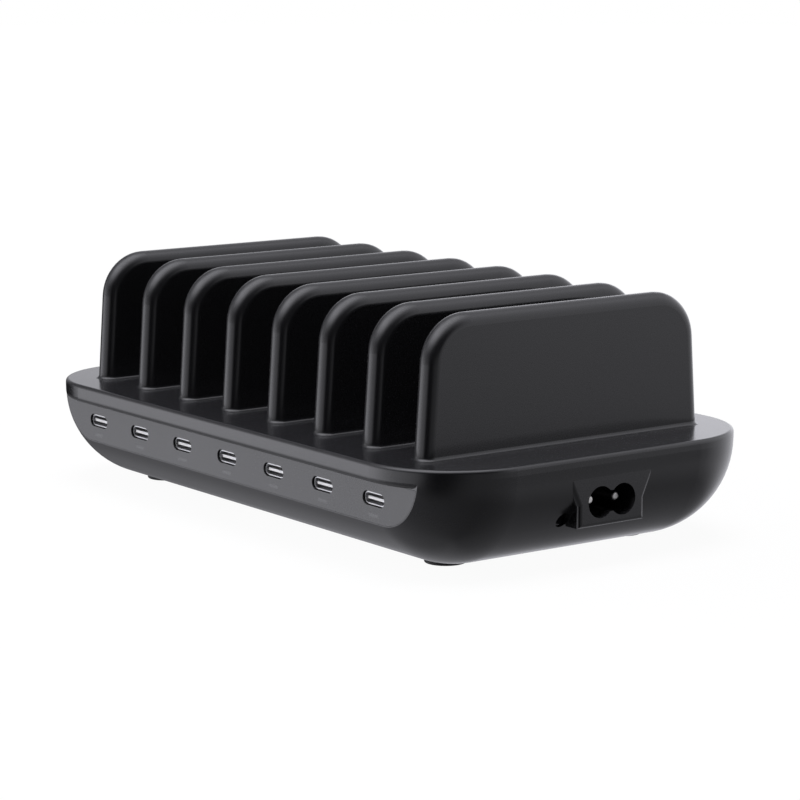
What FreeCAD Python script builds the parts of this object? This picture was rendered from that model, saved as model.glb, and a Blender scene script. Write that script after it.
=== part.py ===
"""Seven-port desktop charging station: bowl-shaped hull, deck with eight hollow fins, mains inlet on one end.

Millimetres. X runs along the row of fins, -Y is the port side, +Z is up.
The origin is on the table, under the middle of the object.
"""
import FreeCAD
import Part

import math
import os

from FreeCAD import Vector

# Hull: plan corners and the bowl's lower edge share one radius, so the corners are spherical
LENGTH = 195.6
DEPTH = 112.6
HULL_H = 28.6
EDGE_R = 26.2
WALL = 2.2

# Feet, each in a shallow pocket that also hides a case screw
FOOT_H = 0.9
FOOT_R = 5.5
FOOT_EDGE_R = 0.3
FOOT_POCKET = 0.6
FOOT_GAP = 0.1
FOOT_INSET_X = 4.0
FOOT_INSET_Y = 0.7

# Cover: deck plate with a locating lip inside the hull wall
DECK_T = 1.6
RIM_FILLET = 1.0
LIP_H = 3.0
LIP_T = 1.4
LIP_GAP = 0.25
LIP_BREAK = 4.0

# Fins, moulded with the cover and open from below
FIN_COUNT = 8
FIN_PITCH = 22.0
FIN_H = 36.2
FIN_T = 6.5
FIN_DEPTH = 91.2
FIN_LEAN = 0.07
FIN_TOP_R = 13.0
FIN_EDGE_R = 3.2
FIN_WALL = 1.8
FIN_ROOT_R = 1.0

# Port face: a flat cut into the bowl, under a band of the full-size rim
PORT_COUNT = 7
PORT_INSET = 4.1
PORT_DROP = 10.5
PORT_SETBACK = 4.3
BAND_H = 5.2
LEDGE_FILLET = 1.6
FACE_T = 4.0
FACE_BORDER = 0.2
SEAT_W = 1.5
PANEL_T = 2.0
PANEL_GAP = 0.08
OPENING_GAP = 0.2

# USB-C receptacle
SHELL_W = 8.94
SHELL_H = 3.2
SHELL_T = 0.3
SHELL_L = 7.0
SHELL_SUNK = 0.6
TONGUE_W = 6.7
TONGUE_T = 0.7
TONGUE_SUNK = 0.3
INSULATOR_L = 2.2

# Circuit boards
BOARD_T = 1.6
BOARD_LIFT = 6.4
BOARD_EDGE_GAP = 1.5
PORT_BOARD_H = 12.4
PORT_BOARD_MARGIN = 0.5

# Mains inlet: figure-8 opening in a flat block on the +X end
INLET_Y = 0.6
INLET_DROP = 12.2
INLET_SETBACK = 0.2
LOBE_R = 4.1
LOBE_SPACING = 7.2
WAIST_H = 5.4
BLOCK_W = 21.6
BLOCK_TOP_W = 28.0
BLOCK_DROP = 18.4
FLARE_FROM = 12.6
FLARE_TO = 5.6
BLOCK_FILLET = 1.2
INLET_WALL = 3.6
SHROUD_T = 1.0
SHROUD_GAP = 0.1
SHROUD_L = 9.5
INLET_BACK_L = 8.0
PIN_R = 1.2
PIN_SPACING = 8.6
PIN_SUNK = 3.6

# Indicator beside the inlet block
LENS_R = 2.0
LENS_GAP = 0.05
LENS_L = 4.0
LENS_SUNK = 1.8
LENS_DOME = 0.5
LENS_MARGIN = 0.2
LENS_DROP = 16.3

# Screws and the bosses that take them
CASE_BOSS_R = 4.8
COVER_BOSS_R = 3.5
BOSS_SPLIT = 13.0
CASE_SCREW_R = 1.45
CASE_HOLE_R = 1.7
CASE_HEAD_R = 2.8
CASE_HEAD_H = 2.0
CASE_SINK = 2.6
CASE_SCREW_L = 17.0
HEAD_GAP = 0.4
BOSS_GAP = 0.5
BOARD_BOSS_R = 3.0
BOARD_SCREW_R = 1.1
BOARD_HEAD_R = 2.4
BOARD_HEAD_H = 1.5
BOARD_SCREW_L = 6.0
BOARD_SCREW_FROM_FOOT = 15.6
BOARD_SCREW_IN_FRONT = 3.1
BOARD_SCREW_OUT_BACK = 1.9

# Levels and planes worked out from the sizes above; the floor's flat part ends at the ball centres
BOTTOM_Z = FOOT_H
DECK_Z = BOTTOM_Z + HULL_H
SPLIT_Z = DECK_Z - DECK_T
TOP_Z = DECK_Z + FIN_H
FLOOR_Z = BOTTOM_Z + WALL
BALL_X = LENGTH / 2 - EDGE_R
BALL_Y = DEPTH / 2 - EDGE_R
BALL_Z = BOTTOM_Z + EDGE_R
INNER_R = EDGE_R - WALL
FOOT_X = BALL_X - FOOT_INSET_X
FOOT_Y = BALL_Y - FOOT_INSET_Y
PANEL_Y = -DEPTH / 2 + PORT_SETBACK
LEDGE_Z = DECK_Z - BAND_H
PORT_Z = DECK_Z - PORT_DROP
PORT_PITCH = 2 * (BALL_X - PORT_INSET) / (PORT_COUNT - 1)
BOARD_Z = FLOOR_Z + BOARD_LIFT
BOARD_TOP = BOARD_Z + BOARD_T
BOARD_RING = math.sqrt(INNER_R ** 2 - (INNER_R - BOARD_LIFT) ** 2) - BOARD_EDGE_GAP
PORT_BOARD_Y = PANEL_Y + SHELL_SUNK + SHELL_L
INLET_X = LENGTH / 2 - INLET_SETBACK
INLET_Z = DECK_Z - INLET_DROP
SEAT_X = INLET_X - INLET_WALL
INLET_BACK_X = SEAT_X - SHROUD_L
INLET_REAR_X = INLET_BACK_X - INLET_BACK_L
LENS_Y = INLET_Y - BLOCK_W / 2 - LENS_MARGIN - LENS_R
LENS_Z = DECK_Z - LENS_DROP
BOARD_SCREW_X = FOOT_X - BOARD_SCREW_FROM_FOOT
BOARD_SCREW_YS = (BOARD_SCREW_IN_FRONT - BALL_Y, BALL_Y + BOARD_SCREW_OUT_BACK)
THROUGH = 400.0


def box(x0, x1, y0, y1, z0, z1):
    """Box between two corners."""
    return Part.makeBox(x1 - x0, y1 - y0, z1 - z0, Vector(x0, y0, z0))


def post(radius, x, y, z0, z1):
    """Upright cylinder."""
    return Part.makeCylinder(radius, z1 - z0, Vector(x, y, z0))


def rod(radius, start, direction, length):
    """Cylinder along any direction."""
    return Part.makeCylinder(radius, length, start, direction)


def upright_edges(solid):
    """Edges of a box that run along Z."""
    return [e for e in solid.Edges if e.BoundBox.ZLength > e.BoundBox.XLength + e.BoundBox.YLength]


def edges_at(solid, z):
    """Edges that lie in a level plane."""
    return [e for e in solid.Edges if abs(e.BoundBox.ZMin - z) < 1e-4 and abs(e.BoundBox.ZMax - z) < 1e-4]


def rounded_plate(length, depth, radius, z0, z1):
    """Plate with rounded plan corners, centred on the origin."""
    plate = box(-length / 2, length / 2, -depth / 2, depth / 2, z0, z1)
    return plate.makeFillet(radius, upright_edges(plate))


def bowl(inset, z_top):
    """Hull form moved in by an inset: spherical lower corners, round lower edges, open height at the top."""
    length, depth, bottom = LENGTH - 2 * inset, DEPTH - 2 * inset, BOTTOM_Z + inset
    block = box(-length / 2, length / 2, -depth / 2, depth / 2, bottom, z_top)
    return block.makeFillet(EDGE_R - inset, upright_edges(block) + edges_at(block, bottom))


def prism(points, normal_offset):
    """Straight-sided outline swept along a vector."""
    face = Part.Face(Part.makePolygon(points + points[:1]))
    return face.extrude(normal_offset)


def slot_along_y(x, z, width, height, y0, y1):
    """Stadium-shaped bar along Y."""
    radius, half = height / 2, (width - height) / 2
    a, b = Vector(x - half, y0, z - radius), Vector(x + half, y0, z - radius)
    c, d = Vector(x + half, y0, z + radius), Vector(x - half, y0, z + radius)
    right = Part.Arc(b, Vector(x + half + radius, y0, z), c).toShape()
    left = Part.Arc(d, Vector(x - half - radius, y0, z), a).toShape()
    wire = Part.Wire([Part.makeLine(a, b), right, Part.makeLine(c, d), left])
    return Part.Face(wire).extrude(Vector(0, y1 - y0, 0))


def port_face(inset, y0, y1):
    """D-ended outline of the port face: where a plane cuts the bowl, the ends are true circles."""
    radius = math.sqrt(EDGE_R ** 2 - (EDGE_R - PORT_SETBACK) ** 2) - inset
    top = LEDGE_Z - inset
    reach = math.sqrt(radius ** 2 - (BALL_Z - top) ** 2)
    turn = (math.pi / 2 + math.asin((BALL_Z - top) / radius)) / 2

    def at(x, z):
        return Vector(x, y0, z)

    mid_x, mid_z = BALL_X + radius * math.cos(turn), BALL_Z - radius * math.sin(turn)
    low = BALL_Z - radius
    wire = Part.Wire([
        Part.makeLine(at(-BALL_X - reach, top), at(BALL_X + reach, top)),
        Part.Arc(at(BALL_X + reach, top), at(mid_x, mid_z), at(BALL_X, low)).toShape(),
        Part.makeLine(at(BALL_X, low), at(-BALL_X, low)),
        Part.Arc(at(-BALL_X, low), at(-mid_x, mid_z), at(-BALL_X - reach, top)).toShape(),
    ])
    return Part.Face(wire).extrude(Vector(0, y1 - y0, 0))


def figure_eight(grow, x0, x1):
    """Two round lobes joined by a waist, along X, at the inlet's place."""
    half = LOBE_SPACING / 2
    shape = box(x0, x1, INLET_Y - half, INLET_Y + half,
                INLET_Z - WAIST_H / 2 - grow, INLET_Z + WAIST_H / 2 + grow)
    for y in (INLET_Y - half, INLET_Y + half):
        shape = shape.fuse(rod(LOBE_R + grow, Vector(x0, y, INLET_Z), Vector(1, 0, 0), x1 - x0))
    return shape.removeSplitter()


def foot_places():
    """Plan positions of the feet and of the case screws above them."""
    return [(sx * FOOT_X, sy * FOOT_Y) for sx in (-1, 1) for sy in (-1, 1)]


def board_screw_places():
    """Plan positions of the main board's screws."""
    return [(sx * BOARD_SCREW_X, y) for sx in (-1, 1) for y in BOARD_SCREW_YS]


def port_xs():
    """Port centres along the panel."""
    return [(i - (PORT_COUNT - 1) / 2) * PORT_PITCH for i in range(PORT_COUNT)]


def fin_blank(x, inset, base_z):
    """One fin moved in by an inset: leaning ends and round shoulders, with square edges."""
    top = TOP_Z - inset
    half = FIN_T / 2 - inset
    low_depth = FIN_DEPTH / 2 - inset + FIN_LEAN * (DECK_Z - base_z)
    top_depth = low_depth - FIN_LEAN * (top - base_z)
    outline = [(-low_depth, base_z), (low_depth, base_z), (top_depth, top), (-top_depth, top)]
    body = prism([Vector(x - half, y, z) for y, z in outline], Vector(2 * half, 0, 0))
    shoulders = [e for e in body.Edges if e.BoundBox.XLength > half and e.BoundBox.ZMin > DECK_Z]
    return body.makeFillet(FIN_TOP_R - inset, shoulders)


def fin(x, base_z):
    """Outside of one fin, with its edges rounded nearly into each other."""
    body = fin_blank(x, 0.0, base_z)
    rim = [e for e in body.Edges if e.BoundBox.XLength < 1e-4 and e.BoundBox.ZMax > DECK_Z]
    return body.makeFillet(FIN_EDGE_R, rim)


def make_top_cover():
    """Deck with its fins, the locating lip and the four screw bosses, in one moulding."""
    deck = rounded_plate(LENGTH, DEPTH, EDGE_R, SPLIT_Z, DECK_Z)
    deck = deck.makeFillet(RIM_FILLET, edges_at(deck, DECK_Z))
    xs = [(i - (FIN_COUNT - 1) / 2) * FIN_PITCH for i in range(FIN_COUNT)]
    cover = deck.fuse([fin(x, SPLIT_Z + DECK_T / 2) for x in xs]).removeSplitter()
    fin_reach = (xs[-1] + FIN_T, FIN_DEPTH / 2 + FIN_T)
    roots = [e for e in edges_at(cover, DECK_Z)
             if e.BoundBox.XMax < fin_reach[0] and e.BoundBox.XMin > -fin_reach[0]
             and e.BoundBox.YMax < fin_reach[1] and e.BoundBox.YMin > -fin_reach[1]]
    cover = cover.makeFillet(FIN_ROOT_R, roots)
    cover = cover.cut([fin_blank(x, FIN_WALL, SPLIT_Z - DECK_T) for x in xs])

    lip_in = WALL + LIP_GAP
    lip = rounded_plate(LENGTH - 2 * lip_in, DEPTH - 2 * lip_in, EDGE_R - lip_in, SPLIT_Z - LIP_H, SPLIT_Z)
    core_in = lip_in + LIP_T
    lip = lip.cut(rounded_plate(LENGTH - 2 * core_in, DEPTH - 2 * core_in, EDGE_R - core_in,
                                SPLIT_Z - 2 * LIP_H, SPLIT_Z + LIP_H))
    lip = lip.cut(box(-BALL_X - EDGE_R + LIP_BREAK, BALL_X + EDGE_R - LIP_BREAK, -DEPTH,
                      PANEL_Y + FACE_T + LIP_GAP, 0, SPLIT_Z))
    bosses = [post(COVER_BOSS_R, x, y, BOSS_SPLIT, SPLIT_Z) for x, y in foot_places()]
    cover = cover.fuse([lip] + bosses).removeSplitter()
    pilots = [post(CASE_SCREW_R, x, y, 0, case_screw_seat() + CASE_SCREW_L) for x, y in foot_places()]
    return cover.cut(pilots)


def case_screw_seat():
    """Level of the face that a case screw's head pulls against."""
    return BOTTOM_Z + FOOT_POCKET + CASE_SINK


def inlet_block():
    """Flat-faced block on the end that carries the inlet, flared where it runs into the rim."""
    low, mid, high = DECK_Z - BLOCK_DROP, DECK_Z - FLARE_FROM, DECK_Z - FLARE_TO
    half, wide = BLOCK_W / 2, BLOCK_TOP_W / 2
    outline = [(-half, low), (half, low), (half, mid), (wide, high), (-wide, high), (-half, mid)]
    block = prism([Vector(BALL_X, INLET_Y + y, z) for y, z in outline], Vector(INLET_X - BALL_X, 0, 0))
    face_edges = [e for e in block.Edges
                  if e.BoundBox.XMin > INLET_X - 1e-4 and e.BoundBox.ZMin < high - 1e-4]
    return block.makeFillet(BLOCK_FILLET, face_edges)


def lens_surface_x():
    """Where the hull's outer skin is, at the indicator's height."""
    return BALL_X + math.sqrt(EDGE_R ** 2 - (BALL_Z - LENS_Z) ** 2)


def make_case_base():
    """Bowl-shaped hull with its port face, inlet block, standoffs and screw bosses."""
    outer = bowl(0.0, SPLIT_Z)
    outer = outer.cut(box(-THROUGH, THROUGH, -THROUGH, PANEL_Y, -THROUGH, LEDGE_Z))
    ledge = [e for e in edges_at(outer, LEDGE_Z) if e.BoundBox.YMin < PANEL_Y - 1e-3
             and e.BoundBox.YMax < PANEL_Y + 1e-3 and e.BoundBox.YMin < -DEPTH / 2 + PORT_SETBACK / 2]
    outer = outer.makeFillet(LEDGE_FILLET, ledge)
    outer = outer.fuse(inlet_block()).removeSplitter()

    cavity = bowl(WALL, SPLIT_Z + WALL)
    cavity = cavity.cut(box(-THROUGH, THROUGH, -THROUGH, PANEL_Y + FACE_T, -THROUGH, LEDGE_Z + WALL))
    pad = SHROUD_T + LOBE_R + WALL
    cavity = cavity.cut(box(SEAT_X, THROUGH, INLET_Y - BLOCK_W / 2, INLET_Y + BLOCK_W / 2, 0, INLET_Z + pad))
    base = outer.cut(cavity)

    stands = [post(BOARD_BOSS_R, x, y, BOTTOM_Z + WALL / 2, BOARD_Z) for x, y in board_screw_places()]
    towers = [post(CASE_BOSS_R, x, y, BOTTOM_Z + WALL / 2, BOSS_SPLIT) for x, y in foot_places()]
    base = base.fuse(stands + towers).removeSplitter()

    cuts = [port_face(FACE_BORDER, PANEL_Y - FACE_T, PANEL_Y + PANEL_T),
            port_face(FACE_BORDER + SEAT_W, PANEL_Y, PANEL_Y + 2 * FACE_T),
            figure_eight(0.0, SEAT_X - INLET_WALL, INLET_X + INLET_WALL),
            figure_eight(SHROUD_T + SHROUD_GAP, BALL_X, SEAT_X),
            rod(LENS_R, Vector(BALL_X, LENS_Y, LENS_Z), Vector(1, 0, 0), EDGE_R)]
    for x, y in board_screw_places():
        cuts.append(post(BOARD_SCREW_R, x, y, BOARD_TOP - BOARD_SCREW_L, BOARD_TOP))
    for x, y in foot_places():
        cuts.append(post(FOOT_R + FOOT_GAP, x, y, 0, BOTTOM_Z + FOOT_POCKET))
        cuts.append(post(CASE_HEAD_R + HEAD_GAP, x, y, 0, case_screw_seat()))
        cuts.append(post(CASE_HOLE_R, x, y, 0, BOSS_SPLIT))
    return base.cut(cuts)


def make_port_panel():
    """D-ended plate with a stadium opening for each receptacle."""
    panel = port_face(FACE_BORDER + PANEL_GAP, PANEL_Y, PANEL_Y + PANEL_T)
    width, height = SHELL_W + 2 * OPENING_GAP, SHELL_H + 2 * OPENING_GAP
    return panel.cut([slot_along_y(x, PORT_Z, width, height, PANEL_Y - PANEL_T, PANEL_Y + 2 * PANEL_T)
                      for x in port_xs()])


def make_usb_shell(x):
    """Seamed metal shell of one receptacle, open at both ends."""
    front = PANEL_Y + SHELL_SUNK
    tube = slot_along_y(x, PORT_Z, SHELL_W, SHELL_H, front, front + SHELL_L)
    bore = slot_along_y(x, PORT_Z, SHELL_W - 2 * SHELL_T, SHELL_H - 2 * SHELL_T,
                        front - SHELL_L, front + 2 * SHELL_L)
    return tube.cut(bore)


def make_usb_tongue(x):
    """Insulator that closes the back of a shell, with the contact tongue in front of it."""
    front = PANEL_Y + SHELL_SUNK
    back = front + SHELL_L
    plug = slot_along_y(x, PORT_Z, SHELL_W - 2 * SHELL_T, SHELL_H - 2 * SHELL_T, back - INSULATOR_L, back)
    tongue = box(x - TONGUE_W / 2, x + TONGUE_W / 2, front + TONGUE_SUNK, back,
                 PORT_Z - TONGUE_T / 2, PORT_Z + TONGUE_T / 2)
    return plug.fuse(tongue).removeSplitter()


def make_main_board():
    """Board that follows the bowl's inside at its own height, with holes for the screw bosses."""
    length, depth = 2 * (BALL_X + BOARD_RING), 2 * (BALL_Y + BOARD_RING)
    board = rounded_plate(length, depth, BOARD_RING, BOARD_Z, BOARD_TOP)
    holes = [post(CASE_BOSS_R + BOSS_GAP, x, y, 0, DECK_Z) for x, y in foot_places()]
    holes += [post(BOARD_SCREW_R, x, y, 0, DECK_Z) for x, y in board_screw_places()]
    return board.cut(holes)


def make_port_board():
    """Upright board behind the panel, standing on the main board."""
    half = (PORT_COUNT - 1) / 2 * PORT_PITCH + SHELL_W / 2 + PORT_BOARD_MARGIN
    return box(-half, half, PORT_BOARD_Y, PORT_BOARD_Y + BOARD_T, BOARD_TOP, BOARD_TOP + PORT_BOARD_H)


def make_inlet_body():
    """Inlet insert: figure-8 shroud against the wall and a block that stands on the board."""
    shroud = figure_eight(SHROUD_T, INLET_BACK_X, SEAT_X)
    half_w = LOBE_SPACING / 2 + LOBE_R + SHROUD_T
    rear = box(INLET_REAR_X, INLET_BACK_X, INLET_Y - half_w, INLET_Y + half_w,
               BOARD_TOP, INLET_Z + LOBE_R + SHROUD_T)
    body = shroud.fuse(rear).removeSplitter()
    body = body.cut(figure_eight(0.0, INLET_BACK_X, SEAT_X + SHROUD_L))
    return body.cut([inlet_pin(side) for side in (-1, 1)])


def inlet_pin(side):
    """Round contact pin with a domed tip, from the back of the insert to just inside the opening."""
    start = Vector(INLET_REAR_X, INLET_Y + side * PIN_SPACING / 2, INLET_Z)
    pin = rod(PIN_R, start, Vector(1, 0, 0), INLET_X - PIN_SUNK - INLET_REAR_X)
    tip = [e for e in pin.Edges if e.BoundBox.XMin > INLET_BACK_X and e.BoundBox.XLength < 1e-4]
    return pin.makeFillet(PIN_R / 2, tip)


def make_inlet_pins():
    """Both contact pins."""
    return Part.makeCompound([inlet_pin(side) for side in (-1, 1)])


def make_indicator_lens():
    """Small round lens pushed into its hole from inside, a little below the skin."""
    front = lens_surface_x() - LENS_SUNK
    lens = rod(LENS_R - LENS_GAP, Vector(front - LENS_L, LENS_Y, LENS_Z), Vector(1, 0, 0), LENS_L)
    rim = [e for e in lens.Edges if e.BoundBox.XMin > front - 1e-4]
    return lens.makeFillet(LENS_DOME, rim)


def make_rubber_foot(x, y):
    """Round pad with a softened lower edge."""
    pad = post(FOOT_R, x, y, 0, BOTTOM_Z + FOOT_POCKET)
    return pad.makeFillet(FOOT_EDGE_R, edges_at(pad, 0))


def screw(x, y, seat, up, head_r, head_h, shank_r, length):
    """Bevelled-head screw; up is the direction from the head's seat along the shank, as +1 or -1."""
    direction = Vector(0, 0, up)
    head = rod(head_r, Vector(x, y, seat), direction * -1, head_h)
    rim = edges_at(head, seat - up * head_h)
    head = head.makeChamfer(head_h / 3, rim)
    return head.fuse(rod(shank_r, Vector(x, y, seat), direction, length)).removeSplitter()


def make_case_screws():
    """Screws that pull the cover down, hidden by the feet."""
    return Part.makeCompound([screw(x, y, case_screw_seat(), 1, CASE_HEAD_R, CASE_HEAD_H, CASE_SCREW_R,
                                    CASE_SCREW_L) for x, y in foot_places()])


def make_board_screws():
    """Screws that hold the main board on its standoffs."""
    return Part.makeCompound([screw(x, y, BOARD_TOP, -1, BOARD_HEAD_R, BOARD_HEAD_H, BOARD_SCREW_R,
                                    BOARD_SCREW_L) for x, y in board_screw_places()])


# Parts of the supply on the main board: their sizes
CORE_L, CORE_W, CORE_H, CORE_LEG = 28.0, 22.0, 12.0, 5.0
BOBBIN_FLANGE, BOBBIN_WALL, WINDING_GAP = 1.0, 1.0, 0.3
BULK_R, BULK_L, BULK_EDGE = 6.25, 26.0, 0.8
XCAP_L, XCAP_W, XCAP_H = 18.0, 8.5, 13.0
CHOKE_OUT, CHOKE_IN, CHOKE_T, CHOKE_WIRE, CHOKE_SPAN = 8.0, 4.5, 7.0, 1.6, 110.0
FUSE_R, FUSE_L = 2.6, 20.0
BRIDGE_L, BRIDGE_W, BRIDGE_H = 15.0, 3.5, 11.0
SINK_L, SINK_T, SINK_H, SINK_FOOT = 30.0, 1.6, 14.0, 6.0
SWITCH_L, SWITCH_T, SWITCH_H = 10.0, 4.5, 12.0
COIL_SIZE, COIL_H, COIL_EDGE = 7.0, 4.5, 1.2
CAN_R, CAN_H, CAN_EDGE = 3.15, 8.0, 0.5

# The room left between them, from the inlet inwards, from the back edge forwards and behind the ports
FUSE_GAP, FUSE_SIDE = 4.5, 6.0
XCAP_GAP, XCAP_SIDE = 9.5, 8.0
CHOKE_GAP, CHOKE_SIDE = 1.4, 6.0
BRIDGE_GAP = 8.5
BULK_GAP, BULK_SPACE = 6.0, 1.5
CORE_GAP = 12.0
SINK_EDGE, SWITCH_GAP = 12.0, 5.5
COIL_GAP, CAN_GAP = 0.3, 13.5

# Their places along the board, worked out from those
FUSE_X = INLET_REAR_X - FUSE_GAP - FUSE_L / 2
XCAP_X = INLET_REAR_X - XCAP_GAP - XCAP_L / 2
CHOKE_REACH = CHOKE_OUT + CHOKE_WIRE
CHOKE_X = XCAP_X - XCAP_L / 2 - CHOKE_GAP - CHOKE_REACH
BULK_X2 = CHOKE_X - CHOKE_REACH - BULK_GAP - BULK_R
BULK_X1 = BULK_X2 - 2 * BULK_R - BULK_SPACE
SINK_X = (BULK_X1 + BULK_X2) / 2
CORE_X = BULK_X1 - BULK_R - CORE_GAP - CORE_L / 2

# Their places across the board
FUSE_Y = INLET_Y - FUSE_SIDE
XCAP_Y = INLET_Y + XCAP_SIDE
CHOKE_Y = INLET_Y + CHOKE_SIDE
BRIDGE_Y = CHOKE_Y + CHOKE_REACH + BRIDGE_GAP + BRIDGE_W / 2
SINK_Y = BALL_Y + BOARD_RING - SINK_EDGE
BULK_Y = SINK_Y - SWITCH_T - SWITCH_GAP - BULK_L / 2
COIL_Y = PORT_BOARD_Y + BOARD_T + COIL_GAP + COIL_SIZE / 2
CAN_Y = COIL_Y + COIL_SIZE / 2 + CAN_GAP + CAN_R


def make_transformer_core():
    """Two-window ferrite core lying on its side on the bobbin's middle."""
    core = box(CORE_X - CORE_L / 2, CORE_X + CORE_L / 2, BULK_Y - CORE_W / 2, BULK_Y + CORE_W / 2,
               BOARD_TOP, BOARD_TOP + CORE_H)
    window = (CORE_W - 4 * CORE_LEG / 2 - CORE_LEG) / 2 + CORE_LEG / 4
    for side in (-1, 1):
        inner = BULK_Y + side * CORE_LEG / 2
        outer = inner + side * window
        core = core.cut(box(CORE_X - CORE_L / 2 + CORE_LEG, CORE_X + CORE_L / 2 - CORE_LEG,
                            min(inner, outer), max(inner, outer), 0, DECK_Z))
    return core


def bobbin_span():
    """Ends of the bobbin along the core's middle leg."""
    half = CORE_L / 2 - CORE_LEG
    return CORE_X - half, CORE_X + half


def make_transformer_bobbin():
    """Square tube round the core's middle leg, with a flange at each end."""
    x0, x1 = bobbin_span()
    leg = CORE_LEG / 2
    tube = leg + BOBBIN_WALL
    flange = tube + 2 * BOBBIN_FLANGE
    low, high = BOARD_TOP, BOARD_TOP + CORE_H
    rise = BOBBIN_WALL
    tube_box = box(x0, x1, BULK_Y - tube, BULK_Y + tube, low, high + rise)
    ends = [box(a, a + BOBBIN_FLANGE, BULK_Y - flange, BULK_Y + flange, low, high + rise + BOBBIN_FLANGE)
            for a in (x0, x1 - BOBBIN_FLANGE)]
    body = tube_box.fuse(ends).removeSplitter()
    return body.cut(box(x0, x1, BULK_Y - leg, BULK_Y + leg, low, high))


def make_transformer_winding():
    """Taped winding between the bobbin's flanges, open under the core's middle leg."""
    x0, x1 = bobbin_span()
    x0, x1 = x0 + BOBBIN_FLANGE, x1 - BOBBIN_FLANGE
    tube = CORE_LEG / 2 + BOBBIN_WALL
    build = 2 * BOBBIN_FLANGE - WINDING_GAP
    low, high = BOARD_TOP, BOARD_TOP + CORE_H + BOBBIN_WALL
    wound = box(x0, x1, BULK_Y - tube - build, BULK_Y + tube + build, low, high + BOBBIN_FLANGE - WINDING_GAP)
    return wound.cut(box(x0, x1, BULK_Y - tube, BULK_Y + tube, low, high))


def make_bulk_capacitor(x):
    """Electrolytic can lying on the board."""
    can = rod(BULK_R, Vector(x, BULK_Y - BULK_L / 2, BOARD_TOP + BULK_R), Vector(0, 1, 0), BULK_L)
    ends = [e for e in can.Edges if e.BoundBox.YLength < 1e-4]
    return can.makeChamfer(BULK_EDGE, ends)


def make_x_capacitor():
    """Boxed film capacitor across the mains."""
    return box(XCAP_X - XCAP_L / 2, XCAP_X + XCAP_L / 2, XCAP_Y - XCAP_W / 2, XCAP_Y + XCAP_W / 2,
               BOARD_TOP, BOARD_TOP + XCAP_H)


def choke_ring(inner, outer, low, high, span=360.0):
    """Ring, or part of one, round the choke's upright axis."""
    ring = Part.makeCylinder(outer, high - low, Vector(CHOKE_X, CHOKE_Y, low), Vector(0, 0, 1), span)
    return ring.cut(Part.makeCylinder(inner, high - low, Vector(CHOKE_X, CHOKE_Y, low)))


def choke_base():
    """Underside of the choke's core, which stands on its windings."""
    return BOARD_TOP + CHOKE_WIRE


def make_choke_core():
    """Toroid of the mains filter."""
    return choke_ring(CHOKE_IN, CHOKE_OUT, choke_base(), choke_base() + CHOKE_T)


def make_choke_windings():
    """Two windings on opposite sides of the toroid."""
    low, high = BOARD_TOP, choke_base() + CHOKE_T + CHOKE_WIRE
    windings = []
    for side in (0, 1):
        wound = choke_ring(CHOKE_IN - CHOKE_WIRE, CHOKE_OUT + CHOKE_WIRE, low, high, CHOKE_SPAN)
        wound = wound.cut(choke_ring(CHOKE_IN, CHOKE_OUT, choke_base(), choke_base() + CHOKE_T))
        wound.rotate(Vector(CHOKE_X, CHOKE_Y, 0), Vector(0, 0, 1), 180.0 * side - CHOKE_SPAN / 2)
        windings.append(wound)
    return Part.makeCompound(windings)


def make_fuse():
    """Cylindrical fuse lying on the board."""
    return rod(FUSE_R, Vector(FUSE_X - FUSE_L / 2, FUSE_Y, BOARD_TOP + FUSE_R), Vector(1, 0, 0), FUSE_L)


def make_bridge_rectifier():
    """Flat rectifier block standing on edge."""
    half_l, half_w = BRIDGE_L / 2, BRIDGE_W / 2
    return box(CHOKE_X - half_l, CHOKE_X + half_l, BRIDGE_Y - half_w, BRIDGE_Y + half_w,
               BOARD_TOP, BOARD_TOP + BRIDGE_H)


def make_heat_sink():
    """Angle of sheet aluminium standing on the board."""
    x0, x1 = SINK_X - SINK_L / 2, SINK_X + SINK_L / 2
    wall = box(x0, x1, SINK_Y, SINK_Y + SINK_T, BOARD_TOP, BOARD_TOP + SINK_H)
    foot = box(x0, x1, SINK_Y, SINK_Y + SINK_FOOT, BOARD_TOP, BOARD_TOP + SINK_T)
    return wall.fuse(foot).removeSplitter()


def make_power_switch():
    """Switching transistor with its back on the heat sink."""
    return box(SINK_X - SWITCH_L / 2, SINK_X + SWITCH_L / 2, SINK_Y - SWITCH_T, SINK_Y,
               BOARD_TOP, BOARD_TOP + SWITCH_H)


def make_output_inductor(x):
    """Shielded inductor behind one port, with bevelled corners."""
    half = COIL_SIZE / 2
    body = box(x - half, x + half, COIL_Y - half, COIL_Y + half, BOARD_TOP, BOARD_TOP + COIL_H)
    return body.makeChamfer(COIL_EDGE, upright_edges(body))


def make_output_capacitor(x):
    """Upright smoothing capacitor for one port."""
    can = post(CAN_R, x, CAN_Y, BOARD_TOP, BOARD_TOP + CAN_H)
    return can.makeChamfer(CAN_EDGE, edges_at(can, BOARD_TOP + CAN_H))


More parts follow.
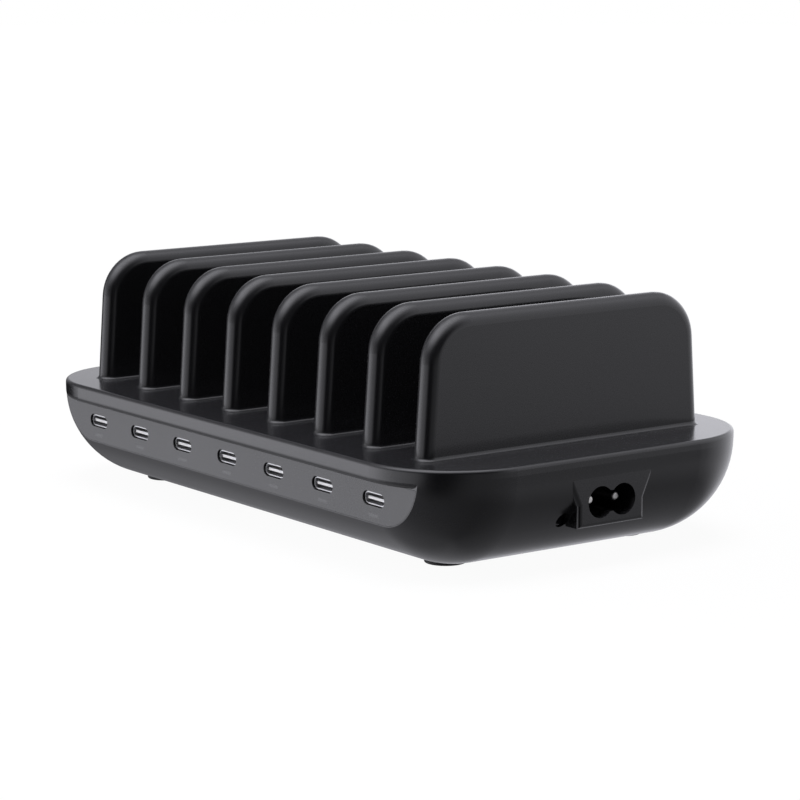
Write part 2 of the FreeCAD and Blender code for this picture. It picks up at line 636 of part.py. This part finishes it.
def all_parts():
    """Every piece of the object by its node name."""
    parts = {
        "top_cover": make_top_cover(),
        "case_base": make_case_base(),
        "port_panel": make_port_panel(),
        "main_board": make_main_board(),
        "port_board": make_port_board(),
        "inlet_body": make_inlet_body(),
        "inlet_pins": make_inlet_pins(),
        "indicator_lens": make_indicator_lens(),
        "case_screws": make_case_screws(),
        "board_screws": make_board_screws(),
        "transformer_core": make_transformer_core(),
        "transformer_bobbin": make_transformer_bobbin(),
        "transformer_winding": make_transformer_winding(),
        "x_capacitor": make_x_capacitor(),
        "choke_core": make_choke_core(),
        "choke_windings": make_choke_windings(),
        "fuse": make_fuse(),
        "bridge_rectifier": make_bridge_rectifier(),
        "heat_sink": make_heat_sink(),
        "power_switch": make_power_switch(),
    }
    for i, x in enumerate(port_xs(), start=1):
        parts[f"usb_shell_{i}"] = make_usb_shell(x)
        parts[f"usb_tongue_{i}"] = make_usb_tongue(x)
        parts[f"output_inductor_{i}"] = make_output_inductor(x)
        parts[f"output_capacitor_{i}"] = make_output_capacitor(x)
    for i, (x, y) in enumerate(foot_places(), start=1):
        parts[f"rubber_foot_{i}"] = make_rubber_foot(x, y)
    for i, x in enumerate((BULK_X1, BULK_X2), start=1):
        parts[f"bulk_capacitor_{i}"] = make_bulk_capacitor(x)
    return parts


def main():
    os.makedirs("parts", exist_ok=True)
    for name, shape in all_parts().items():
        shape.exportStep(f"parts/{name}.step")


main()
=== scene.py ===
"""Looks of the desktop charging station: black moulded plastic, metal USB ports, white studio."""
import math

import bpy
from mathutils import Matrix, Vector


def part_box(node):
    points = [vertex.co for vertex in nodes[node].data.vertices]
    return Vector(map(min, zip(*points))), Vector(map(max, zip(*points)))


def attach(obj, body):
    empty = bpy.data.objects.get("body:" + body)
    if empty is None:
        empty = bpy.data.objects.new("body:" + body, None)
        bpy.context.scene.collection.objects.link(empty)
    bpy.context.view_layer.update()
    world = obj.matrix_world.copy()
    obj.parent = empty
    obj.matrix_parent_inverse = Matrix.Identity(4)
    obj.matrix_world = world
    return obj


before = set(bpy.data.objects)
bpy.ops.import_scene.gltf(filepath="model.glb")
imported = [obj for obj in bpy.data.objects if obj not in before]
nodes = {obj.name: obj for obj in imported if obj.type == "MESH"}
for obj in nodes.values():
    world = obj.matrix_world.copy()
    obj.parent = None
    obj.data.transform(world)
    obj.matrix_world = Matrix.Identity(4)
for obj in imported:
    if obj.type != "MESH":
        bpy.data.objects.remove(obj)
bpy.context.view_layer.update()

MM = 0.001
PORTS = range(1, 8)
FEET = range(1, 5)


def port_centre(i):
    """Middle of one USB port."""
    low, high = (Vector(corner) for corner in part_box(f"usb_shell_{i}"))
    return (low + high) / 2


# Shader wiring

class Wire:
    """A shader socket that can be used in sums and products."""

    def __init__(self, tree, socket):
        self.tree = tree
        self.socket = socket

    def node(self, kind, settings=None, **inputs):
        """Adds a node, sets it up, feeds its sockets by name and returns it."""
        made = self.tree.nodes.new(kind)
        for key, value in (settings or {}).items():
            if key == "ramp":
                fill_ramp(made.color_ramp, value)
            else:
                setattr(made, key, value)
        for key, value in inputs.items():
            feed(self.tree, pick(made.inputs, key), value)
        return made

    def out(self, made, name=None):
        """Wraps one output of a node."""
        return Wire(self.tree, pick(made.outputs, name) if name else made.outputs[0])

    def math(self, operation, a, b=None, c=None):
        """One Math node."""
        made = self.tree.nodes.new("ShaderNodeMath")
        made.operation = operation
        for socket, value in zip(made.inputs, (a, b, c)):
            if value is not None:
                feed(self.tree, socket, value)
        return Wire(self.tree, made.outputs[0])

    def __add__(self, other):
        return self.math("ADD", self, other)

    def __radd__(self, other):
        return self.math("ADD", other, self)

    def __sub__(self, other):
        return self.math("SUBTRACT", self, other)

    def __rsub__(self, other):
        return self.math("SUBTRACT", other, self)

    def __mul__(self, other):
        return self.math("MULTIPLY", self, other)

    def __rmul__(self, other):
        return self.math("MULTIPLY", other, self)

    def __truediv__(self, other):
        return self.math("DIVIDE", self, other)


def pick(sockets, name):
    """The enabled socket of that name, with its spaces written as underscores."""
    plain = name.replace("_", " ")
    return next(s for s in sockets if s.name == plain and s.enabled)


def feed(tree, socket, value):
    """Links a wire to a socket, or sets a constant."""
    if isinstance(value, Wire):
        tree.links.new(value.socket, socket)
    else:
        socket.default_value = value


def fill_ramp(ramp, stops):
    """Gives a ramp its stops as (place, grey level)."""
    while len(ramp.elements) > 1:
        ramp.elements.remove(ramp.elements[-1])
    for i, (place, level) in enumerate(stops):
        element = ramp.elements[0] if i == 0 else ramp.elements.new(place)
        element.position = place
        element.color = (level, level, level, 1)


def noise(place, scale, detail, rough):
    """Noise level from 0 to 1, with scale in cells per metre."""
    made = place.node("ShaderNodeTexNoise", Vector=place, Scale=scale, Detail=detail, Roughness=rough)
    return place.out(made, "Fac")


def climb(level, low, high):
    """0 below one level, 1 above another, even between."""
    made = level.node("ShaderNodeMapRange", Value=level, From_Min=low, From_Max=high)
    return level.out(made)


def swing(middle, spread, level):
    """A value that swings evenly round its middle while a level runs from 0 to 1."""
    return middle - spread / 2 + level * spread


def tint(place, level, dark, light):
    """Colour between two, by a level; each colour is a wire or three numbers."""
    made = place.node("ShaderNodeMix", {"data_type": "RGBA"}, Factor=level)
    for socket, colour in zip(made.inputs[6:8], (dark, light)):
        feed(place.tree, socket, colour if isinstance(colour, Wire) else (*colour, 1))
    return Wire(place.tree, made.outputs[2])


def bump(place, shader, height, depth):
    """Surface relief from a height that runs from 0 to 1, over a depth in metres."""
    made = place.node("ShaderNodeBump", Height=height, Distance=depth, Strength=1.0)
    place.tree.links.new(made.outputs["Normal"], shader.inputs["Normal"])


# Finishes: how far grain, patches and drawing lines sway a colour and its gloss

GRAIN_GAIN, GRAIN_LIFT = 1.5, 0.001
GRAIN_GLOSS = 0.05
PATCH_SCALE, PATCH_GLOSS = 22.0, 0.06
LINE_SHADE, LINE_GLOSS = 0.86, 0.12
STUFF_GLOSS = 0.1

# Printed dashes under the ports, thinnest where the grain is lowest
PORT_PITCH = port_centre(2).x - port_centre(1).x
MARK_DROP = 4.1 * MM
MARK_W, MARK_H, MARK_BLUR = 4.6 * MM, 1.2 * MM, 0.4 * MM
MARK_GREY = (0.055, 0.055, 0.057)
MARK_COVER = 0.7


def finish(name, base, rough, **constants):
    """New material with constants on its main shader, that shader, and a wire of places on the piece."""
    material = bpy.data.materials.new(name)
    material.use_nodes = True
    shader = material.node_tree.nodes["Principled BSDF"]
    shader.inputs["Base Color"].default_value = (*base, 1)
    shader.inputs["Roughness"].default_value = rough
    for key, value in constants.items():
        shader.inputs[key.replace("_", " ")].default_value = value
    wire = Wire(material.node_tree, None)
    return material, shader, wire.out(wire.node("ShaderNodeTexCoord"), "Object")


def grained_black(name, base, rough, grain, relief):
    """Black plastic from a spark-eroded mould: its material, shader and places, its grain and its colour."""
    material, shader, place = finish(name, base, rough)
    fine = noise(place, grain, detail=3.0, rough=0.6)
    patches = noise(place, PATCH_SCALE, detail=2.0, rough=0.5)
    black = tint(place, fine, base, tuple(c * GRAIN_GAIN + GRAIN_LIFT for c in base))
    gloss = swing(rough, PATCH_GLOSS, patches) + (fine - 0.5) * GRAIN_GLOSS
    feed(place.tree, shader.inputs["Roughness"], gloss)
    bump(place, shader, fine, relief)
    return material, shader, place, fine, black


def moulded_black(name, base, rough, grain, relief):
    """Black plastic with a fine grain and patches of slightly different gloss."""
    material, shader, place, _, black = grained_black(name, base, rough, grain, relief)
    feed(place.tree, shader.inputs["Base Color"], black)
    return material


def within(distance, width):
    """1 inside a band of that width, with a soft edge."""
    return 1 - climb(distance, width / 2 - MARK_BLUR, width / 2)


def marked_panel(name, base, rough, grain, relief):
    """The same plastic with a small pale printed dash under each port."""
    material, shader, place, fine, black = grained_black(name, base, rough, grain, relief)
    spot = place.node("ShaderNodeSeparateXYZ", Vector=place)
    along, up = place.out(spot, "X"), place.out(spot, "Z")
    along = along.math("ABSOLUTE", along.math("WRAP", along, PORT_PITCH / 2, -PORT_PITCH / 2))
    up = up.math("ABSOLUTE", up - (port_centre(1).z - MARK_DROP))
    cover = within(along, MARK_W) * within(up, MARK_H) * (MARK_COVER + fine * (1 - MARK_COVER))
    feed(place.tree, shader.inputs["Base Color"], tint(place, cover, black, MARK_GREY))
    return material


def plated_metal(name, base, rough, lines_per_m):
    """Plated sheet metal with faint drawing lines along one axis."""
    material, shader, place = finish(name, base, rough, Metallic=1.0)
    stretch = place.node("ShaderNodeMapping", Vector=place, Scale=lines_per_m)
    lines = noise(place.out(stretch), 1.0, detail=3.0, rough=0.6)
    feed(place.tree, shader.inputs["Roughness"], swing(rough, LINE_GLOSS, lines))
    shaded = tuple(c * LINE_SHADE for c in base)
    feed(place.tree, shader.inputs["Base Color"], tint(place, lines, shaded, base))
    return material


def plain_stuff(name, base, rough, scale, spread, relief=0.0, **constants):
    """Any other stuff: a colour that varies a little, with matching gloss and relief."""
    material, shader, place = finish(name, base, rough, **constants)
    level = noise(place, scale, detail=3.0, rough=0.55)
    dark = tuple(c * (1 - spread) for c in base)
    light = tuple(min(1.0, c * (1 + spread)) for c in base)
    feed(place.tree, shader.inputs["Base Color"], tint(place, level, dark, light))
    feed(place.tree, shader.inputs["Roughness"], swing(rough, STUFF_GLOSS, level))
    if relief:
        bump(place, shader, level, relief)
    return material


body_black = moulded_black("moulded_black", (0.0120, 0.0120, 0.0130), 0.21, grain=2600.0, relief=0.005 * MM)
panel_black = marked_panel("panel_black", (0.009, 0.009, 0.0098), 0.26, grain=3400.0, relief=0.007 * MM)
inlet_black = moulded_black("inlet_black", (0.006, 0.006, 0.0064), 0.45, grain=3000.0, relief=0.01 * MM)
tongue_grey = plain_stuff("tongue_grey", (0.75, 0.75, 0.74), 0.3, 1500.0, 0.08)
shell_plate = plated_metal("shell_plate", (0.6, 0.6, 0.61), 0.5, (300.0, 5200.0, 5200.0))
pin_plate = plated_metal("pin_plate", (0.6, 0.59, 0.57), 0.36, (240.0, 4200.0, 4200.0))
screw_zinc = plated_metal("screw_zinc", (0.6, 0.6, 0.62), 0.35, (1500.0, 1500.0, 300.0))
sink_metal = plated_metal("sink_metal", (0.72, 0.72, 0.74), 0.4, (260.0, 3000.0, 3000.0))
can_metal = plated_metal("can_metal", (0.8, 0.8, 0.82), 0.3, (3000.0, 3000.0, 260.0))
copper_coil = plated_metal("copper_coil", (0.72, 0.34, 0.17), 0.32, (700.0, 700.0, 2600.0))
foot_rubber = plain_stuff("foot_rubber", (0.016, 0.016, 0.0165), 0.75, 1800.0, 0.35, relief=0.03 * MM)
lens_dark = plain_stuff("lens_dark", (0.012, 0.012, 0.015), 0.12, 900.0, 0.25, Coat_Weight=0.4)
board_green = plain_stuff("board_green", (0.015, 0.13, 0.05), 0.42, 700.0, 0.35, relief=0.02 * MM)
ferrite_grey = plain_stuff("ferrite_grey", (0.05, 0.05, 0.055), 0.6, 1600.0, 0.3, relief=0.03 * MM)
bobbin_black = plain_stuff("bobbin_black", (0.02, 0.02, 0.02), 0.5, 1500.0, 0.3)
tape_yellow = plain_stuff("tape_yellow", (0.75, 0.55, 0.06), 0.3, 500.0, 0.12)
film_box = plain_stuff("film_box", (0.62, 0.46, 0.08), 0.35, 900.0, 0.12)
fuse_white = plain_stuff("fuse_white", (0.78, 0.76, 0.7), 0.3, 800.0, 0.06)
chip_black = plain_stuff("chip_black", (0.02, 0.02, 0.021), 0.55, 2200.0, 0.3, relief=0.02 * MM)
sleeve_blue = plain_stuff("sleeve_blue", (0.015, 0.022, 0.07), 0.25, 400.0, 0.2)

FINISHES = {
    body_black: ["top_cover", "case_base"],
    panel_black: ["port_panel"],
    inlet_black: ["inlet_body"],
    pin_plate: ["inlet_pins"],
    lens_dark: ["indicator_lens"],
    shell_plate: [f"usb_shell_{i}" for i in PORTS],
    tongue_grey: [f"usb_tongue_{i}" for i in PORTS],
    foot_rubber: [f"rubber_foot_{i}" for i in FEET],
    board_green: ["main_board", "port_board"],
    screw_zinc: ["case_screws", "board_screws"],
    ferrite_grey: ["transformer_core", "choke_core"] + [f"output_inductor_{i}" for i in PORTS],
    bobbin_black: ["transformer_bobbin"],
    tape_yellow: ["transformer_winding"],
    film_box: ["x_capacitor"],
    copper_coil: ["choke_windings"],
    fuse_white: ["fuse"],
    chip_black: ["bridge_rectifier", "power_switch"],
    sink_metal: ["heat_sink"],
    can_metal: [f"output_capacitor_{i}" for i in PORTS],
    sleeve_blue: ["bulk_capacitor_1", "bulk_capacitor_2"],
}
for material, names in FINISHES.items():
    for name in names:
        nodes[name].data.materials.clear()
        nodes[name].data.materials.append(material)


# Contact pads on the tongues of the USB ports

TONGUE_T = 0.7 * MM
PAD_COUNT, PAD_PITCH = 12, 0.5 * MM
PAD_W, PAD_L, PAD_T = 0.26 * MM, 3.4 * MM, 0.05 * MM
PAD_EDGE = 0.015 * MM
PAD_FROM_TIP = 0.3 * MM


def model_pads():
    """Both rows of contact pads of the first port, as one mesh at its place."""
    tip = Vector(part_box("usb_tongue_1")[0]).y
    middle = port_centre(1)
    first = Vector((middle.x - (PAD_COUNT - 1) / 2 * PAD_PITCH, tip + PAD_FROM_TIP + PAD_L / 2,
                    middle.z + TONGUE_T / 2))
    bpy.ops.object.select_all(action="DESELECT")
    bpy.ops.mesh.primitive_cube_add(size=1.0, location=(0, 0, 0))
    pads = bpy.context.active_object
    bpy.ops.object.mode_set(mode="EDIT")
    bpy.ops.transform.resize(value=(PAD_W, PAD_L, PAD_T))
    bpy.ops.mesh.bevel(offset=PAD_EDGE, segments=1, affect="EDGES")
    bpy.ops.transform.translate(value=first)
    bpy.ops.object.mode_set(mode="OBJECT")
    for step, count in (((PAD_PITCH, 0, 0), PAD_COUNT), ((0, 0, -TONGUE_T), 2)):
        row = pads.modifiers.new("row", "ARRAY")
        row.count = count
        row.use_relative_offset = False
        row.use_constant_offset = True
        row.constant_offset_displace = step
        bpy.ops.object.modifier_apply(modifier=row.name)
    pads.name = "usb_contacts_1"
    pads.data.materials.append(pin_plate)
    return pads


def fit_pads():
    """A set of contact pads in every port."""
    pattern = model_pads()
    for i in PORTS:
        pads = pattern
        if i > 1:
            pads = bpy.data.objects.new(f"usb_contacts_{i}", pattern.data.copy())
            pads.data.transform(Matrix.Translation(port_centre(i) - port_centre(1)))
            bpy.context.scene.collection.objects.link(pads)
        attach(pads, "root")


# Camera at the photograph's angle

AZIMUTH = math.radians(53.80)
ELEVATION = math.radians(9.89)
FOCAL_PX = 2916.1
FRAME_PX = 800.0
SENSOR_MM = 36.0
CLIP_START = 10 * MM
DISTANCE = 811.36 * MM
SIDE_STEP = 4.57 * MM
RISE = -0.14 * MM
AIM = Vector((0, 0, 29.5 * MM))


def aim_camera():
    """Camera on a line back from a point inside the hull, stepped a little aside."""
    back = Vector((math.sin(AZIMUTH) * math.cos(ELEVATION), -math.cos(AZIMUTH) * math.cos(ELEVATION),
                   math.sin(ELEVATION)))
    right = (-back).cross(Vector((0, 0, 1))).normalized()
    up = right.cross(-back)
    lens = bpy.data.cameras.new("camera")
    lens.sensor_width = SENSOR_MM
    lens.lens = FOCAL_PX * SENSOR_MM / FRAME_PX
    lens.clip_start = CLIP_START
    camera = bpy.data.objects.new("camera", lens)
    camera.matrix_world = (Matrix.Translation(AIM + back * DISTANCE + right * SIDE_STEP + up * RISE)
                           @ Matrix((right, up, back)).transposed().to_4x4())
    bpy.context.scene.collection.objects.link(camera)
    bpy.context.scene.camera = camera


# Studio: white for the camera, rings of soft cards for reflections, plain light for matt surfaces

# Both rings just below the horizon start with the card on the port side and end dark at the far end
PORT_SIDE = [(-180, 0.0), (-166, 0.0), (-158, 0.80), (-150, 2.30), (-143, 2.65), (-130, 2.60), (-118, 2.15),
             (-104, 1.68), (-88, 1.48), (-76, 1.12), (-66, 0.06), (-58, 0.0), (-48, 0.0)]
DARK_END = [(148, 0.20), (156, 0.0), (180, 0.0)]

# Each ring has the height of its direction, from -1 to 1, and stops of (degrees round from +X, level)
RING_TOP = 4.0
RINGS = [
    (-0.60, [(-180, 0.42), (-144, 0.50), (-90, 0.40), (-56, 0.34), (0, 0.24), (60, 0.35), (118, 0.35),
             (150, 0.55), (180, 0.42)]),
    (-0.38, [(-180, 0.18), (-166, 0.22), (-150, 1.50), (-143, 1.75), (-130, 1.65), (-100, 1.00), (-80, 0.52),
             (-68, 0.08), (-54, 0.03), (-42, 0.10), (-30, 0.28), (-14, 0.38), (0, 0.38), (36, 0.55),
             (60, 0.80), (96, 1.15), (138, 1.00), (156, 0.20), (180, 0.18)]),
    (-0.20, PORT_SIDE + [(-36, 0.04), (-26, 0.18), (-12, 0.34), (0, 0.32), (36, 0.32), (48, 0.40), (62, 0.85),
                         (96, 1.22), (138, 1.05)] + DARK_END),
    (-0.16, PORT_SIDE + [(-36, 0.05), (-26, 0.26), (-12, 0.48), (0, 0.46), (36, 1.14), (60, 1.12), (96, 1.25),
                         (138, 1.05)] + DARK_END),
    (0.17, [(-180, 0.10), (-166, 0.15), (-145, 1.00), (-110, 0.60), (-90, 0.25), (-64, 0.0), (8, 0.05),
            (24, 0.60), (37, 1.20), (90, 1.50), (120, 1.75), (138, 1.76), (148, 1.14), (160, 0.50),
            (180, 0.10)]),
    (0.40, [(-180, 0.15), (-166, 0.15), (-148, 0.50), (-110, 1.00), (-82, 0.45), (-60, 0.0), (12, 0.05),
            (28, 0.65), (42, 1.30), (90, 1.40), (120, 0.85), (138, 0.70), (160, 0.35), (180, 0.15)]),
    (0.60, [(-180, 0.20), (-166, 0.25), (-148, 0.80), (-120, 2.30), (-80, 1.80), (-52, 0.60), (-30, 0.10),
            (0, 0.15), (22, 0.55), (46, 1.30), (74, 1.38), (113, 0.72), (140, 0.60), (180, 0.20)]),
    (0.82, [(-180, 0.70), (-160, 1.40), (-140, 3.10), (-110, 3.90), (-75, 3.70), (-47, 2.40), (-23, 1.20),
            (11, 1.20), (47, 1.35), (73, 1.48), (113, 0.80), (140, 0.80), (180, 0.70)]),
    (1.00, [(-180, 3.20), (180, 3.20)]),
]
CARD_TINT = (0.94, 0.94, 1.0)
WHITE = (1, 1, 1)

# Light on matt surfaces: a little from all round, most from above, the rest along the port side
AMBIENT = 0.06
OVERHEAD = 10.0
OVERHEAD_FROM, OVERHEAD_FULL = 0.92, 0.98
FRONT = 4.0
FRONT_WAY = (-0.81, -0.59)
FRONT_FROM, FRONT_FULL = 0.6, 0.95

FLOOR_GREY = (0.9, 0.9, 0.9)
FLOOR_ROUGH = 0.9
FLOOR_GLOW = 0.955
FLOOR_RADIUS, FLOOR_CORNERS = 3.0, 64


def light_studio():
    """World that is white to the camera, cards to reflections and plain light to matt surfaces."""
    world = bpy.data.worlds.new("studio")
    bpy.context.scene.world = world
    world.use_nodes = True
    tree = world.node_tree
    tree.nodes.clear()
    wire = Wire(tree, None)
    way = wire.out(wire.node("ShaderNodeTexCoord"), "Generated")
    parts = wire.node("ShaderNodeSeparateXYZ", Vector=way)
    x, y, z = (wire.out(parts, axis) for axis in "XYZ")
    turn = x.math("ARCTAN2", y, x) / (2 * math.pi) + 0.5

    cards, below = None, None
    for height, stops in RINGS:
        ramp = [((turned + 180) / 360, level / RING_TOP) for turned, level in stops]
        made = wire.node("ShaderNodeValToRGB", {"ramp": ramp}, Fac=turn)
        ring = wire.out(made, "Color") * RING_TOP
        cards = cards + (ring - cards) * climb(z, below, height) if cards else ring
        below = height

    path = wire.node("ShaderNodeLightPath")
    glossy = wire.out(path, "Is Glossy Ray")
    seen = x.math("MAXIMUM", wire.out(path, "Is Camera Ray"), wire.out(path, "Is Transmission Ray"))
    ahead = x * FRONT_WAY[0] + y * FRONT_WAY[1]
    soft = (climb(z, OVERHEAD_FROM, OVERHEAD_FULL) * OVERHEAD + climb(ahead, FRONT_FROM, FRONT_FULL) * FRONT
            + AMBIENT)
    level = seen + (1 - seen) * (soft + (cards - soft) * glossy)
    light = wire.node("ShaderNodeBackground", Color=tint(wire, seen, CARD_TINT, WHITE), Strength=level)
    out = wire.node("ShaderNodeOutputWorld")
    tree.links.new(light.outputs[0], out.inputs["Surface"])


def lay_floor():
    """White floor that shows a faint contact shadow, open to a look from below."""
    bpy.ops.object.select_all(action="DESELECT")
    bpy.ops.mesh.primitive_circle_add(vertices=FLOOR_CORNERS, radius=FLOOR_RADIUS, fill_type="NGON",
                                      location=(0, 0, 0))
    floor = bpy.context.active_object
    floor.name = "floor"
    material, shader, place = finish("floor_white", FLOOR_GREY, FLOOR_ROUGH)
    tree = material.node_tree
    glow = place.node("ShaderNodeEmission", Strength=1.0)
    path = place.node("ShaderNodeLightPath")
    above = place.node("ShaderNodeMixShader", Fac=place.out(path, "Is Camera Ray") * FLOOR_GLOW)
    tree.links.new(shader.outputs[0], above.inputs[1])
    tree.links.new(glow.outputs[0], above.inputs[2])
    side = place.node("ShaderNodeNewGeometry")
    clear = place.node("ShaderNodeBsdfTransparent")
    one_way = place.node("ShaderNodeMixShader", Fac=place.out(side, "Backfacing"))
    tree.links.new(above.outputs[0], one_way.inputs[1])
    tree.links.new(clear.outputs[0], one_way.inputs[2])
    tree.links.new(one_way.outputs[0], tree.nodes["Material Output"].inputs["Surface"])
    floor.data.materials.append(material)
    floor.visible_glossy = False
    floor.visible_diffuse = False


fit_pads()
aim_camera()
light_studio()
lay_floor()

bpy.context.scene.view_settings.view_transform = "Standard"
